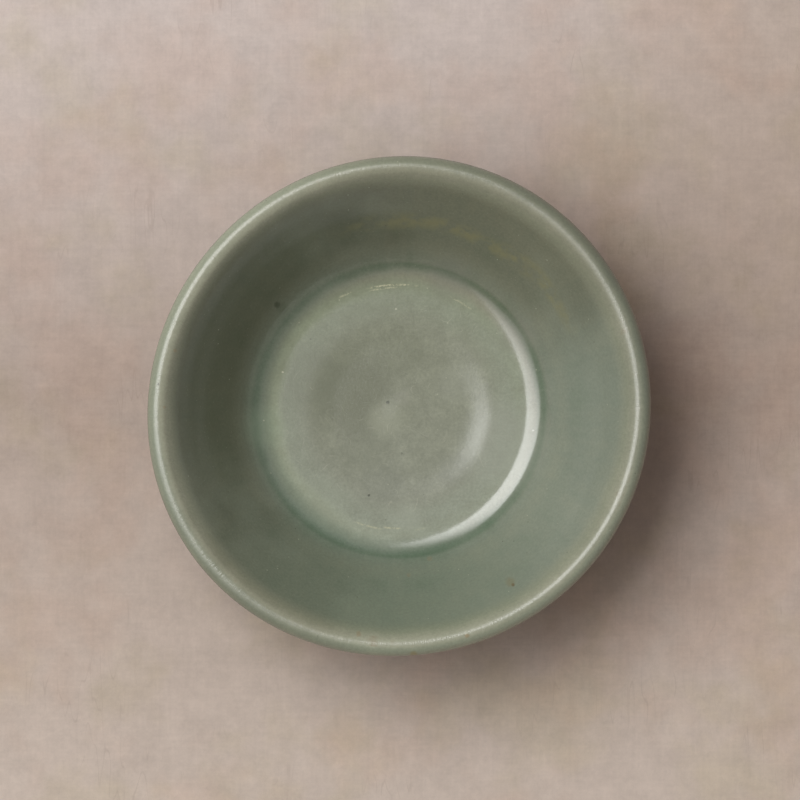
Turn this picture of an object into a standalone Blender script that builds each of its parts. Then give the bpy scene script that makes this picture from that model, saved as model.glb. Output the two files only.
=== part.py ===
# Celadon brush washer: a thrown stoneware dish on a luted foot ring, under three coats of glaze.
# Metres, +Z up. The origin is the middle of the ring of bare clay that it stands on.
# Every piece is turned about the Z axis from an outline of lines and arcs, given as (radius, height).

import math

import bmesh
import bpy

# Overall size, over the glaze
RIM_RADIUS = 0.0650
HEIGHT = 0.0410

# Thrown clay
LIP_THICKNESS = 0.0036
WALL_BASE_THICKNESS = 0.0048
BASE_THICKNESS = 0.0046
FLOOR_RADIUS = 0.0379
FLOOR_EDGE_RADIUS = 0.0120
HAUNCH_RADIUS = 0.0065

# Foot ring
FOOT_HEIGHT = 0.0060
FOOT_WIDTH = 0.0048
FOOT_SET_IN = 0.0024
FOOT_LEAN = math.radians(4)
FOOT_EDGE_RADIUS = 0.0007

# Glaze
GLAZE_THICKNESS = 0.0007
FLOOR_GLAZE_THICKNESS = 0.0010
FOOT_RECESS_GLAZE_THICKNESS = 0.0006
FLOOR_POOL_RADIUS = 0.0109
FOOT_POOL_RADIUS = 0.0011
BARE_FOOT_HEIGHT = 0.0018
GLAZE_END_RADIUS = 0.0003

# Clearance that every glaze coat and the foot ring keep to the piece that carries them
SEAT_GAP = 0.0003

# Facets
TURN_SEGMENTS = 64
FLOOR_EDGE_STEPS = 7
EDGE_STEPS = 3
LIP_STEPS = 6
HAUNCH_STEPS = 4
POOL_STEPS = 3
MERGE_DISTANCE = 1e-7


# Points and lines in the (radius, height) plane

def along(point, angle, distance):
    """The point this far from another, at an angle above the outward direction."""
    return point[0] + distance * math.cos(angle), point[1] + distance * math.sin(angle)


def beside(line, distance):
    """The line moved sideways: to the left of its direction, or to the right if distance is negative."""
    (r0, z0), (r1, z1) = line
    angle = math.atan2(z1 - z0, r1 - r0) + math.pi / 2
    return along((r0, z0), angle, distance), along((r1, z1), angle, distance)


def meeting(first, second):
    """The point where two lines cross."""
    (r0, z0), (r1, z1) = first
    (r2, z2), (r3, z3) = second
    ur, uz, vr, vz = r1 - r0, z1 - z0, r3 - r2, z3 - z2
    share = ((r2 - r0) * vz - (z2 - z0) * vr) / (ur * vz - uz * vr)
    return r0 + share * ur, z0 + share * uz


def at_height(line, height):
    """The point of a line at this height."""
    return meeting(line, ((0.0, height), (1.0, height)))


def arc(centre, radius, start, end, steps):
    """Points along an arc, both ends included."""
    return [along(centre, start + (end - start) * i / steps, radius) for i in range(steps + 1)]


def fillet(before, corner, after, radius, steps):
    """A corner rounded by an arc. The arc takes at most half of the shorter side beside it."""
    incoming = math.atan2(before[1] - corner[1], before[0] - corner[0])
    outgoing = math.atan2(after[1] - corner[1], after[0] - corner[0])
    opening = (outgoing - incoming + math.pi) % (2 * math.pi) - math.pi
    reach = radius / math.tan(abs(opening) / 2)
    most = min(math.dist(before, corner), math.dist(corner, after)) / 2
    if reach > most:
        radius *= most / reach
    middle = incoming + opening / 2
    centre = along(corner, middle, radius / math.sin(abs(opening) / 2))
    side = math.copysign(math.pi / 2, opening)
    turned = -math.copysign(math.pi - abs(opening), opening)
    return arc(centre, radius, incoming - side, incoming - side + turned, steps)


# Outlines of the dish

WALL_COAT = SEAT_GAP + GLAZE_THICKNESS
FLOOR_COAT = SEAT_GAP + FLOOR_GLAZE_THICKNESS
RECESS_COAT = SEAT_GAP + FOOT_RECESS_GLAZE_THICKNESS

LIP_RADIUS = LIP_THICKNESS / 2
LIP_CENTRE = (RIM_RADIUS - WALL_COAT - LIP_RADIUS, HEIGHT - WALL_COAT - LIP_RADIUS)

UNDERSIDE_HEIGHT = FOOT_HEIGHT
FLOOR_HEIGHT = UNDERSIDE_HEIGHT + BASE_THICKNESS
FLOOR_CENTRE = (0.0, FLOOR_HEIGHT)
FLOOR_EDGE = (FLOOR_RADIUS, FLOOR_HEIGHT)

# The inner face of the wall starts at the floor's edge and is tangent to the round lip. The outer
# face is tangent to the lip too, and passes the floor's edge at the wall's thickness there.
WALL_SPAN = math.dist(FLOOR_EDGE, LIP_CENTRE)
SPAN_ANGLE = math.atan2(LIP_CENTRE[1] - FLOOR_EDGE[1], LIP_CENTRE[0] - FLOOR_EDGE[0])
INNER_ANGLE = SPAN_ANGLE + math.asin(LIP_RADIUS / WALL_SPAN)
OUTER_ANGLE = SPAN_ANGLE + math.asin((WALL_BASE_THICKNESS - LIP_RADIUS) / WALL_SPAN)
INNER_TANGENT = along(LIP_CENTRE, INNER_ANGLE + math.pi / 2, LIP_RADIUS)
OUTER_TANGENT = along(LIP_CENTRE, OUTER_ANGLE - math.pi / 2, LIP_RADIUS)

# Lines with the clay on their right side: the floor and the inner wall are followed outwards and
# up, the outer wall down, and the underside inwards.
FLOOR_LINE = (FLOOR_CENTRE, FLOOR_EDGE)
INNER_LINE = (FLOOR_EDGE, INNER_TANGENT)
OUTER_LINE = (OUTER_TANGENT, along(OUTER_TANGENT, OUTER_ANGLE + math.pi, WALL_SPAN))
UNDERSIDE_LINE = ((RIM_RADIUS, UNDERSIDE_HEIGHT), (0.0, UNDERSIDE_HEIGHT))
HAUNCH = meeting(OUTER_LINE, UNDERSIDE_LINE)

# The foot ring stands under the flat of the underside, in from where the haunch begins to curve.
HAUNCH_REACH = HAUNCH_RADIUS * math.tan(OUTER_ANGLE / 2)
FOOT_RADIUS = HAUNCH[0] - HAUNCH_REACH - FOOT_SET_IN
FOOT_INNER_RADIUS = FOOT_RADIUS - FOOT_WIDTH
FOOT_TAPER = FOOT_HEIGHT * math.tan(FOOT_LEAN)
FOOT_OUTER_LINE = ((FOOT_RADIUS, FOOT_HEIGHT), (FOOT_RADIUS - FOOT_TAPER, 0.0))
FOOT_INNER_LINE = ((FOOT_INNER_RADIUS + FOOT_TAPER, 0.0), (FOOT_INNER_RADIUS, FOOT_HEIGHT))


def inner_face(floor_coat, wall_coat, edge_radius):
    """The dish's inside, from the middle of the floor to the wall, under coats of these thicknesses."""
    floor = beside(FLOOR_LINE, floor_coat)
    wall = beside(INNER_LINE, wall_coat)
    edge = meeting(floor, wall)
    return [floor[0], *fillet(floor[0], edge, wall[1], edge_radius, FLOOR_EDGE_STEPS)]


def haunch(coat):
    """The curve from the outer wall to the underside, under a coat of this thickness."""
    wall = beside(OUTER_LINE, coat)
    underside = beside(UNDERSIDE_LINE, coat)
    corner = meeting(wall, underside)
    return fillet(wall[0], corner, underside[1], HAUNCH_RADIUS + coat, HAUNCH_STEPS)


def body_outline():
    """The thrown clay, all in one piece from the floor to the lip."""
    lip = arc(LIP_CENTRE, LIP_RADIUS, INNER_ANGLE + math.pi / 2, OUTER_ANGLE - math.pi / 2, LIP_STEPS)
    return [
        *inner_face(0.0, 0.0, FLOOR_EDGE_RADIUS),
        *lip,
        *haunch(0.0),
        (0.0, UNDERSIDE_HEIGHT),
    ]


def foot_outline():
    """The ring's closed outline: it leans in on both faces and has worn, rounded edges below."""
    top = FOOT_HEIGHT - SEAT_GAP
    outer_top, outer_foot = at_height(FOOT_OUTER_LINE, top), FOOT_OUTER_LINE[1]
    inner_foot, inner_top = FOOT_INNER_LINE[0], at_height(FOOT_INNER_LINE, top)
    return [
        outer_top,
        *fillet(outer_top, outer_foot, inner_foot, FOOT_EDGE_RADIUS, EDGE_STEPS),
        *fillet(outer_foot, inner_foot, inner_top, FOOT_EDGE_RADIUS, EDGE_STEPS),
        inner_top,
    ]


def inside_glaze_outline():
    """The coat over the floor, the wall and the lip, as far as the rim's widest point."""
    start = INNER_ANGLE + math.pi / 2
    over = arc(LIP_CENTRE, LIP_RADIUS + WALL_COAT, start, 0.0, LIP_STEPS)
    under = arc(LIP_CENTRE, LIP_RADIUS + SEAT_GAP, 0.0, start, LIP_STEPS)
    backing = inner_face(SEAT_GAP, SEAT_GAP, FLOOR_EDGE_RADIUS - SEAT_GAP)
    return [
        *inner_face(FLOOR_COAT, WALL_COAT, FLOOR_POOL_RADIUS),
        *over,
        *under,
        *reversed(backing),
    ]


def outside_glaze_outline():
    """The coat from just under the rim's widest point to the bare edge of the foot, as a loop."""
    end = OUTER_ANGLE - math.pi / 2

    def lip(coat):
        radius = LIP_RADIUS + coat
        return arc(LIP_CENTRE, radius, -math.asin(SEAT_GAP / radius), end, LIP_STEPS // 2)

    def foot(coat):
        side = beside(FOOT_OUTER_LINE, coat)
        corner = meeting(beside(UNDERSIDE_LINE, coat), side)
        return corner, at_height(side, BARE_FOOT_HEIGHT)

    visible_haunch = haunch(WALL_COAT)
    visible_corner, visible_end = foot(WALL_COAT)
    backing_corner, backing_end = foot(SEAT_GAP)
    pool = fillet(visible_haunch[-1], visible_corner, visible_end, FOOT_POOL_RADIUS, POOL_STEPS)
    roll = fillet(visible_corner, visible_end, backing_end, GLAZE_END_RADIUS, 1)
    visible = [*lip(WALL_COAT), *visible_haunch, *pool, *roll]
    backing = [*lip(SEAT_GAP), *haunch(SEAT_GAP), backing_corner, backing_end]
    return [*visible, *reversed(backing)]


def recess_glaze_outline():
    """The coat inside the foot ring: over the underside and part of the way down the ring."""
    def foot(coat):
        side = beside(FOOT_INNER_LINE, coat)
        height = UNDERSIDE_HEIGHT - coat
        return (0.0, height), at_height(side, height), at_height(side, BARE_FOOT_HEIGHT)

    centre, corner, end = foot(RECESS_COAT)
    backing_centre, backing_corner, backing_end = foot(SEAT_GAP)
    return [
        backing_centre,
        backing_corner,
        backing_end,
        *fillet(backing_end, end, corner, GLAZE_END_RADIUS, 1),
        *fillet(end, corner, centre, FOOT_POOL_RADIUS, POOL_STEPS),
        centre,
    ]


# Blender objects

def clear_scene():
    for old in list(bpy.data.objects):
        bpy.data.objects.remove(old, do_unlink=True)


def ceramic(name, colour, roughness):
    """A plain material: linear RGB colour and roughness, not metallic."""
    material = bpy.data.materials.new(name)
    material.use_nodes = True
    shader = material.node_tree.nodes["Principled BSDF"]
    shader.inputs["Base Color"].default_value = (*colour, 1.0)
    shader.inputs["Roughness"].default_value = roughness
    shader.inputs["Metallic"].default_value = 0.0
    return material


def turned(name, outline, material, ring=False):
    """A piece turned on the wheel: the outline is spun about Z. A ring's outline is a closed loop."""
    mesh = bpy.data.meshes.new(name)
    work = bmesh.new()
    points = [work.verts.new((r, 0.0, z)) for r, z in outline]
    pairs = list(zip(points, points[1:]))
    if ring:
        pairs.append((points[-1], points[0]))
    edges = [work.edges.new(pair) for pair in pairs]
    bmesh.ops.spin(
        work,
        geom=points + edges,
        axis=(0.0, 0.0, 1.0),
        cent=(0.0, 0.0, 0.0),
        angle=2 * math.pi,
        steps=TURN_SEGMENTS,
        use_duplicate=False,
    )
    bmesh.ops.remove_doubles(work, verts=work.verts, dist=MERGE_DISTANCE)
    bmesh.ops.recalc_face_normals(work, faces=work.faces)
    work.to_mesh(mesh)
    work.free()
    mesh.shade_smooth()
    mesh.set_sharp_from_angle(angle=math.radians(40))
    mesh.materials.append(material)
    piece = bpy.data.objects.new(name, mesh)
    bpy.context.scene.collection.objects.link(piece)
    return piece


def main():
    clear_scene()
    stoneware = ceramic("grey_stoneware", (0.42, 0.39, 0.34), 0.80)
    burnt_clay = ceramic("burnt_foot_clay", (0.36, 0.17, 0.09), 0.85)
    celadon = ceramic("celadon_glaze", (0.22, 0.27, 0.20), 0.20)
    turned("thrown_body", body_outline(), stoneware)
    turned("foot_ring", foot_outline(), burnt_clay, ring=True)
    turned("inside_glaze", inside_glaze_outline(), celadon)
    turned("outside_glaze", outside_glaze_outline(), celadon, ring=True)
    turned("foot_recess_glaze", recess_glaze_outline(), celadon)


main()
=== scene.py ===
import math

import bmesh
import bpy
from mathutils import Matrix, Vector, noise


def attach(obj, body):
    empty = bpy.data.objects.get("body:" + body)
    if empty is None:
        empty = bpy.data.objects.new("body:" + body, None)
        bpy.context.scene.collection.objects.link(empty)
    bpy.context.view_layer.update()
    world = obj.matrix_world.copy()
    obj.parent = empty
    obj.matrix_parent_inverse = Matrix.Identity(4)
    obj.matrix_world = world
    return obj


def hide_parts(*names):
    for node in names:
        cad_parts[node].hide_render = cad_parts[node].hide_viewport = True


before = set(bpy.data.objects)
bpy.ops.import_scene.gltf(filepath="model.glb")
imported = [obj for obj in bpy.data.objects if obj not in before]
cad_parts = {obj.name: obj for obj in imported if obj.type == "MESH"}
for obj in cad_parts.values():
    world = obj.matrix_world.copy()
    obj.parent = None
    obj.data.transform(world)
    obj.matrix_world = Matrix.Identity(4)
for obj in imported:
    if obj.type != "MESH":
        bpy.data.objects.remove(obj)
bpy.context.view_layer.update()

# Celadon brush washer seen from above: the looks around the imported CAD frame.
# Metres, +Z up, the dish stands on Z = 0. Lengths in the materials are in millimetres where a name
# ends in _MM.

MM = 0.001

# The thrown dish, the same sizes as the CAD
RIM_RADIUS = 65.0 * MM
HEIGHT = 41.0 * MM
LIP_THICKNESS = 3.6 * MM
WALL_BASE_THICKNESS = 4.8 * MM
BASE_THICKNESS = 4.6 * MM
FLOOR_RADIUS = 37.9 * MM
FLOOR_EDGE_RADIUS = 12.0 * MM
HAUNCH_RADIUS = 6.5 * MM
FOOT_HEIGHT = 6.0 * MM
FOOT_WIDTH = 4.8 * MM
FOOT_SET_IN = 2.4 * MM
FOOT_LEAN = math.radians(4)
FOOT_EDGE_RADIUS = 0.7 * MM
GLAZE_THICKNESS = 0.7 * MM
FLOOR_GLAZE_THICKNESS = 1.0 * MM
FOOT_RECESS_GLAZE_THICKNESS = 0.6 * MM
FLOOR_POOL_RADIUS = 10.9 * MM
FOOT_POOL_RADIUS = 1.1 * MM
BARE_FOOT_HEIGHT = 1.8 * MM
GLAZE_END_RADIUS = 0.35 * MM
RECESS_GLAZE_END_RADIUS = 0.28 * MM
SEAT_GAP = 0.3 * MM

# How the hands and the kiln left it: the rim is a little oval with three faint corners, the glaze
# pooled deeper on one side, the floor keeps a worn disc inside a step, and its edge starts to
# rise later on two opposite sides.
RIM_OVAL = 0.0117
OVAL_LONG_AXIS = math.radians(38)
RIM_THREE_CORNERS = 0.0043
RIM_WAVE = 0.12 * MM
RIM_WAVE_START = 0.6 * HEIGHT
WALL_RING_DEPTH = 0.035 * MM
WALL_RING_PITCH = 6.5 * MM
WALL_RINGS_BEGIN = (16.0 * MM, 20.0 * MM)
WALL_RINGS_END = (34.0 * MM, 38.0 * MM)
FLOOR_STEP_HEIGHT = 0.88 * MM
FLOOR_STEP_START = 16.8 * MM
FLOOR_STEP_END = 25.2 * MM
FLOOR_DISC_LEVEL_SHARE = 0.25
FLOOR_DISC_LOW_SIDE = math.radians(-4)
FLOOR_DOME_HEIGHT = 0.12 * MM
FLOOR_DOME_RADIUS = 3.6 * MM
FLOOR_RISE_SHIFT = 0.8 * MM
FLOOR_RISE_START = 32.0 * MM
FLOOR_RISE_END = 40.5 * MM
EARLY_RISE_SIDE = math.radians(-25)
GLAZE_LINE_WAVE = 0.28 * MM
GLAZE_LINE_WAVE_START = BARE_FOOT_HEIGHT + 0.3 * MM
GLAZE_LINE_WAVE_END = BARE_FOOT_HEIGHT + 1.8 * MM
POOL_TIP = 0.28
POOL_SHALLOW_SIDE = math.radians(200)

# Mesh fineness
TURN_SEGMENTS = 288
FLOOR_STEPS = 44
FLOOR_EDGE_STEPS = 26
WALL_STEPS = 24
LIP_STEPS = 28
HAUNCH_STEPS = 14
EDGE_STEPS = 6
POOL_STEPS = 8
FOOT_STEPS = 8
GLAZED_FOOT_STEPS = 6
RECESS_SIDE_STEPS = 4
RECESS_STEPS = 16
HIDDEN_EDGE_STEPS = 10
SHARP_ANGLE = math.radians(50)


# Points and lines in the (radius, height) plane

def along(point, angle, distance):
    """The point this far from another, at an angle above the outward direction."""
    return point[0] + distance * math.cos(angle), point[1] + distance * math.sin(angle)


def beside(line, distance):
    """The line moved sideways: to the left of its direction, or to the right if negative."""
    (r0, z0), (r1, z1) = line
    angle = math.atan2(z1 - z0, r1 - r0) + math.pi / 2
    return along((r0, z0), angle, distance), along((r1, z1), angle, distance)


def meeting(first, second):
    """The point where two lines cross."""
    (r0, z0), (r1, z1) = first
    (r2, z2), (r3, z3) = second
    ur, uz, vr, vz = r1 - r0, z1 - z0, r3 - r2, z3 - z2
    share = ((r2 - r0) * vz - (z2 - z0) * vr) / (ur * vz - uz * vr)
    return r0 + share * ur, z0 + share * uz


def at_height(line, height):
    """The point of a line at this height."""
    return meeting(line, ((0.0, height), (1.0, height)))


def arc(centre, radius, start, end, steps):
    """Points along an arc, both ends included."""
    return [along(centre, start + (end - start) * i / steps, radius) for i in range(steps + 1)]


def straight(start, end, steps):
    """Points between two others, without the two."""
    share = [i / steps for i in range(1, steps)]
    return [(start[0] + (end[0] - start[0]) * t, start[1] + (end[1] - start[1]) * t) for t in share]


def fillet(before, corner, after, radius, steps):
    """A corner rounded by an arc."""
    incoming = math.atan2(before[1] - corner[1], before[0] - corner[0])
    outgoing = math.atan2(after[1] - corner[1], after[0] - corner[0])
    opening = (outgoing - incoming + math.pi) % (2 * math.pi) - math.pi
    centre = along(corner, incoming + opening / 2, radius / math.sin(abs(opening) / 2))
    side = math.copysign(math.pi / 2, opening)
    turned_by = -math.copysign(math.pi - abs(opening), opening)
    return arc(centre, radius, incoming - side, incoming - side + turned_by, steps)


def smooth_step(low, high, value):
    """0 below low, 1 above high, and a smooth rise between."""
    share = min(max((value - low) / (high - low), 0.0), 1.0)
    return share * share * (3 - 2 * share)


def bump_between(low, high, value):
    """1 where the value is midway between two others, 0 at both."""
    share = (value - low) / (high - low)
    return math.sin(math.pi * share) ** 2 if 0 < share < 1 else 0.0


# Outlines of the dish, the CAD's own with finer curves

WALL_COAT = SEAT_GAP + GLAZE_THICKNESS
FLOOR_COAT = SEAT_GAP + FLOOR_GLAZE_THICKNESS
RECESS_COAT = SEAT_GAP + FOOT_RECESS_GLAZE_THICKNESS
LIP_RADIUS = LIP_THICKNESS / 2
LIP_CENTRE = (RIM_RADIUS - WALL_COAT - LIP_RADIUS, HEIGHT - WALL_COAT - LIP_RADIUS)
UNDERSIDE_HEIGHT = FOOT_HEIGHT
FLOOR_HEIGHT = UNDERSIDE_HEIGHT + BASE_THICKNESS
FLOOR_EDGE = (FLOOR_RADIUS, FLOOR_HEIGHT)
WALL_SPAN = math.dist(FLOOR_EDGE, LIP_CENTRE)
SPAN_ANGLE = math.atan2(LIP_CENTRE[1] - FLOOR_EDGE[1], LIP_CENTRE[0] - FLOOR_EDGE[0])
INNER_ANGLE = SPAN_ANGLE + math.asin(LIP_RADIUS / WALL_SPAN)
OUTER_ANGLE = SPAN_ANGLE + math.asin((WALL_BASE_THICKNESS - LIP_RADIUS) / WALL_SPAN)
INNER_TANGENT = along(LIP_CENTRE, INNER_ANGLE + math.pi / 2, LIP_RADIUS)
OUTER_TANGENT = along(LIP_CENTRE, OUTER_ANGLE - math.pi / 2, LIP_RADIUS)
FLOOR_LINE = ((0.0, FLOOR_HEIGHT), FLOOR_EDGE)
INNER_LINE = (FLOOR_EDGE, INNER_TANGENT)
OUTER_LINE = (OUTER_TANGENT, along(OUTER_TANGENT, OUTER_ANGLE + math.pi, WALL_SPAN))
UNDERSIDE_LINE = ((RIM_RADIUS, UNDERSIDE_HEIGHT), (0.0, UNDERSIDE_HEIGHT))
HAUNCH = meeting(OUTER_LINE, UNDERSIDE_LINE)
FOOT_RADIUS = HAUNCH[0] - HAUNCH_RADIUS * math.tan(OUTER_ANGLE / 2) - FOOT_SET_IN
FOOT_INNER_RADIUS = FOOT_RADIUS - FOOT_WIDTH
FOOT_TAPER = FOOT_HEIGHT * math.tan(FOOT_LEAN)
FOOT_OUTER_LINE = ((FOOT_RADIUS, FOOT_HEIGHT), (FOOT_RADIUS - FOOT_TAPER, 0.0))
FOOT_INNER_LINE = ((FOOT_INNER_RADIUS + FOOT_TAPER, 0.0), (FOOT_INNER_RADIUS, FOOT_HEIGHT))


def inner_face(floor_coat, wall_coat, edge_radius, fine):
    """The dish's inside, from the middle of the floor to the top of the wall."""
    floor = beside(FLOOR_LINE, floor_coat)
    wall = beside(INNER_LINE, wall_coat)
    edge = meeting(floor, wall)
    steps = FLOOR_EDGE_STEPS if fine else HIDDEN_EDGE_STEPS
    curve = fillet(floor[0], edge, wall[1], edge_radius, steps)
    if not fine:
        return [floor[0], *curve]
    return [
        floor[0],
        *straight(floor[0], curve[0], FLOOR_STEPS),
        *curve,
        *straight(curve[-1], wall[1], WALL_STEPS),
    ]


def haunch(coat, steps):
    """The curve from the outer wall to the underside, under a coat of this thickness."""
    wall = beside(OUTER_LINE, coat)
    underside = beside(UNDERSIDE_LINE, coat)
    corner = meeting(wall, underside)
    return fillet(wall[0], corner, underside[1], HAUNCH_RADIUS + coat, steps)


def body_outline():
    """The thrown clay, all in one piece from the floor to the lip."""
    start, end = INNER_ANGLE + math.pi / 2, OUTER_ANGLE - math.pi / 2
    return [
        *inner_face(0.0, 0.0, FLOOR_EDGE_RADIUS, False),
        *arc(LIP_CENTRE, LIP_RADIUS, start, end, LIP_STEPS // 2),
        *haunch(0.0, HAUNCH_STEPS // 2),
        (0.0, UNDERSIDE_HEIGHT),
    ]


def foot_outline():
    """The ring's closed outline: it leans in on both faces and has worn, rounded edges below."""
    top = FOOT_HEIGHT - SEAT_GAP
    outer_top, outer_foot = at_height(FOOT_OUTER_LINE, top), FOOT_OUTER_LINE[1]
    inner_foot, inner_top = FOOT_INNER_LINE[0], at_height(FOOT_INNER_LINE, top)
    outer_edge = fillet(outer_top, outer_foot, inner_foot, FOOT_EDGE_RADIUS, EDGE_STEPS)
    inner_edge = fillet(outer_foot, inner_foot, inner_top, FOOT_EDGE_RADIUS, EDGE_STEPS)
    return [
        outer_top,
        *straight(outer_top, outer_edge[0], FOOT_STEPS),
        *outer_edge,
        *straight(outer_edge[-1], inner_edge[0], FOOT_STEPS),
        *inner_edge,
        *straight(inner_edge[-1], inner_top, FOOT_STEPS),
        inner_top,
    ]


def coat_outline():
    """The coat of glaze as one closed skin: the inside, the lip, the outside down to the foot."""
    lip_start, lip_end = INNER_ANGLE + math.pi / 2, OUTER_ANGLE - math.pi / 2

    def foot(coat):
        side = beside(FOOT_OUTER_LINE, coat)
        corner = meeting(beside(UNDERSIDE_LINE, coat), side)
        return corner, at_height(side, BARE_FOOT_HEIGHT)

    seen_lip = arc(LIP_CENTRE, LIP_RADIUS + WALL_COAT, lip_start, lip_end, LIP_STEPS)
    seen_haunch = haunch(WALL_COAT, HAUNCH_STEPS)
    seen_corner, seen_end = foot(WALL_COAT)
    back_corner, back_end = foot(SEAT_GAP)
    pool = fillet(seen_haunch[-1], seen_corner, seen_end, FOOT_POOL_RADIUS, POOL_STEPS)
    roll = fillet(seen_corner, seen_end, back_end, GLAZE_END_RADIUS, EDGE_STEPS)
    seen = [
        *inner_face(FLOOR_COAT, WALL_COAT, FLOOR_POOL_RADIUS, True),
        *seen_lip,
        *straight(seen_lip[-1], seen_haunch[0], WALL_STEPS),
        *seen_haunch,
        *pool,
        *straight(pool[-1], roll[0], GLAZED_FOOT_STEPS),
        *roll,
    ]
    back_lip = arc(LIP_CENTRE, LIP_RADIUS + SEAT_GAP, lip_start, lip_end, LIP_STEPS // 2)
    back = [
        *inner_face(SEAT_GAP, SEAT_GAP, FLOOR_EDGE_RADIUS - SEAT_GAP, False),
        *back_lip,
        *haunch(SEAT_GAP, HAUNCH_STEPS // 2),
        back_corner,
        back_end,
    ]
    return seen, back


def recess_outline():
    """The coat inside the foot ring: over the underside and part of the way down the ring."""
    def foot(coat):
        side = beside(FOOT_INNER_LINE, coat)
        height = UNDERSIDE_HEIGHT - coat
        return (0.0, height), at_height(side, height), at_height(side, BARE_FOOT_HEIGHT)

    centre, corner, end = foot(RECESS_COAT)
    back_centre, back_corner, back_end = foot(SEAT_GAP)
    roll = fillet(back_end, end, corner, RECESS_GLAZE_END_RADIUS, EDGE_STEPS)
    pool = fillet(end, corner, centre, FOOT_POOL_RADIUS, POOL_STEPS)
    return [
        back_centre,
        back_corner,
        back_end,
        *roll,
        *straight(roll[-1], pool[0], RECESS_SIDE_STEPS),
        *pool,
        *straight(pool[-1], centre, RECESS_STEPS),
        centre,
    ]


# What the hands and the kiln changed

FLAT_FLOOR = FLOOR_HEIGHT + FLOOR_COAT


def floor_relief(radius, angle):
    """How far the glazed floor lies above its outer flat: a disc inside a step, worn deeper on
    one side, and a low dome in the middle."""
    step = 1.0 - smooth_step(FLOOR_STEP_START, FLOOR_STEP_END, radius)
    low_side = max(0.0, math.cos(angle - FLOOR_DISC_LOW_SIDE)) * radius / FLOOR_STEP_END
    sunk = FLOOR_DISC_LEVEL_SHARE + (1.0 - FLOOR_DISC_LEVEL_SHARE) * low_side ** 2
    dome = math.exp(-(radius / FLOOR_DOME_RADIUS) ** 2)
    return FLOOR_DOME_HEIGHT * dome - FLOOR_STEP_HEIGHT * step * sunk


def fired(radius, height, angle, seen, glazed):
    """Where the kiln left a point of the outline: oval at the rim, waved lip, thrower's rings,
    a floor that is worn and rises unevenly, and a glaze that ends in a wavy line above the
    foot."""
    lift = smooth_step(FOOT_HEIGHT, HEIGHT, height)
    oval = RIM_OVAL * math.cos(2 * (angle - OVAL_LONG_AXIS)) * lift
    oval += RIM_THREE_CORNERS * math.cos(3 * (angle - math.pi / 2)) * lift
    about = Vector((math.cos(angle), math.sin(angle), 0.0))
    wave = RIM_WAVE * noise.noise(2.1 * about + Vector((0, 0, 4)))
    wave *= smooth_step(RIM_WAVE_START, HEIGHT, height)
    out, up = radius * (1 + oval), height + 0.5 * wave
    if seen:
        spiral = math.tau * height / WALL_RING_PITCH + angle
        on_wall = smooth_step(*WALL_RINGS_BEGIN, height) * (1 - smooth_step(*WALL_RINGS_END, height))
        swell = noise.noise(about + Vector((0, 0, height / (9 * MM))))
        out += WALL_RING_DEPTH * (0.5 * math.sin(spiral) + 1.2 * swell) * on_wall
        if height > FLOOR_HEIGHT:
            late = 0.5 - 0.5 * math.cos(2 * (angle - EARLY_RISE_SIDE))
            out += FLOOR_RISE_SHIFT * late * bump_between(FLOOR_RISE_START, FLOOR_RISE_END, radius)
        if radius < FLOOR_STEP_END and abs(height - FLAT_FLOOR) < 0.01 * MM:
            up += floor_relief(radius, angle)
    if glazed:
        near_end = 1.0 - smooth_step(GLAZE_LINE_WAVE_START, GLAZE_LINE_WAVE_END, height)
        drips = noise.noise(3.1 * about + Vector((0, 0, 9))) + 0.4 * noise.noise(11 * about)
        up += GLAZE_LINE_WAVE * drips * near_end
    return Vector((out * math.cos(angle), out * math.sin(angle), up))


def turned(name, outline, material, seen_points=(), depths=None):
    """A piece turned from an outline, which runs from the axis to the axis or is a closed loop.
    With depths it is a coat of glaze, and each point keeps the depth for its colour."""
    mesh = bpy.data.meshes.new(name)
    work = bmesh.new()
    depth_layer = work.verts.layers.float.new("glaze_depth")
    loop = outline[0][0] > 0.0
    rings = []
    for index, (radius, height) in enumerate(outline):
        seen = index in seen_points
        count = TURN_SEGMENTS if radius > 1e-6 else 1
        ring = []
        for turn in range(count):
            angle = math.tau * turn / TURN_SEGMENTS
            vert = work.verts.new(fired(radius, height, angle, seen, bool(depths)))
            if depths:
                even, pooled = depths[index]
                tipped = 1.0 - POOL_TIP * math.cos(angle - POOL_SHALLOW_SIDE)
                vert[depth_layer] = even + pooled * tipped
            ring.append(vert)
        rings.append(ring)
    pairs = list(zip(rings, rings[1:]))
    if loop:
        pairs.append((rings[-1], rings[0]))
    for lower, upper in pairs:
        for turn in range(TURN_SEGMENTS):
            after = (turn + 1) % TURN_SEGMENTS
            corners = [
                lower[turn % len(lower)],
                lower[after % len(lower)],
                upper[after % len(upper)],
                upper[turn % len(upper)],
            ]
            corners = [v for i, v in enumerate(corners) if v not in corners[:i]]
            if len(corners) > 2:
                work.faces.new(corners)
    bmesh.ops.recalc_face_normals(work, faces=work.faces)
    work.to_mesh(mesh)
    work.free()
    mesh.shade_smooth()
    mesh.set_sharp_from_angle(angle=SHARP_ANGLE)
    mesh.materials.append(material)
    piece = bpy.data.objects.new(name, mesh)
    bpy.context.scene.collection.objects.link(piece)
    return piece


# Glaze depth, in millimetres, along the coat: it thins over the lip and pools in the corners

FLOOR_DEPTH = 0.62
FLOOR_POOL_DEPTH = 0.22
WALL_DEPTH = 0.74
WALL_RUN_DEPTH = 0.08
RIDGE_THINNING = 0.09
LIP_THINNING = 0.45
OUTSIDE_DEPTH = 0.70
OUTSIDE_RUN_DEPTH = 0.22
OUTSIDE_LIP_THINNING = 0.48
FOOT_POOL_DEPTH = 0.45
GLAZE_LINE_DEPTH = 0.12
HIDDEN_DEPTH = 0.7
RECESS_DEPTH = 0.8


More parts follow.
